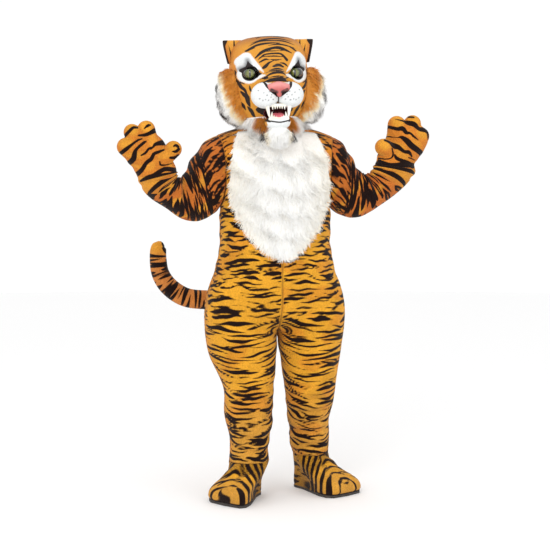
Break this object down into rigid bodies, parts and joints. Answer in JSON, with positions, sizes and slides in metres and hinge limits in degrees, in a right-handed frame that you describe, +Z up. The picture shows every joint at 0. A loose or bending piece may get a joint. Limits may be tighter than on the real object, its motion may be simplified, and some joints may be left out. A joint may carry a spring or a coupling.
{
  "type": "tiger mascot costume",
  "caption": "Full-body plush tiger costume with striped suit, white fur bib, padded head, paw gloves, foot covers and curled tail, standing as worn.",
  "frame": {"origin": "base of the wearer's neck, where the costume is held up, 1.50 m above the soles", "axes": "+Z up, -Y the way the suit's chest faces, +X to the wearer's left"},
  "size_m": [1.264, 0.6006, 1.88],
  "materials": {
    "plush": "short plush, golden orange with black stripes",
    "white_fur": "white fur",
    "ruff_fur": "long fur, orange to cream with grey tips",
    "sole": "matte black sole",
    "nose": "satin pink",
    "mouth": "dark red",
    "tongue": "satin pink",
    "teeth": "ivory",
    "eye": "glossy green iris on white",
    "zip_tape": "woven tape"
  },
  "bodies": {
    "root": {"front_right": "plush", "front_left": "plush", "back_right": "plush", "back_left": "plush", "sleeve_right": "plush", "sleeve_left": "plush", "belly_fur": "white_fur", "back_zip": "zip_tape", "neck_skirt": "ruff_fur", "palm_right": "plush", "palm_left": "plush", "fingers_right": "plush", "fingers_left": "plush", "thumb_right": "plush", "thumb_left": "plush", "foot_right": "plush", "foot_left": "plush", "sole_right": "sole", "sole_left": "sole", "tail": "plush", "head_face": "plush", "head_back": "plush", "ear_right": "plush", "ear_left": "plush", "ruff_right": "ruff_fur", "ruff_left": "ruff_fur", "muzzle": "white_fur", "nose": "nose", "jaw": "white_fur", "chin_fur": "white_fur", "mouth_lining": "mouth", "tongue": "tongue", "teeth_upper": "teeth", "teeth_lower": "teeth", "eye_right": "eye", "eye_left": "eye"}
  },
  "joints": []
}
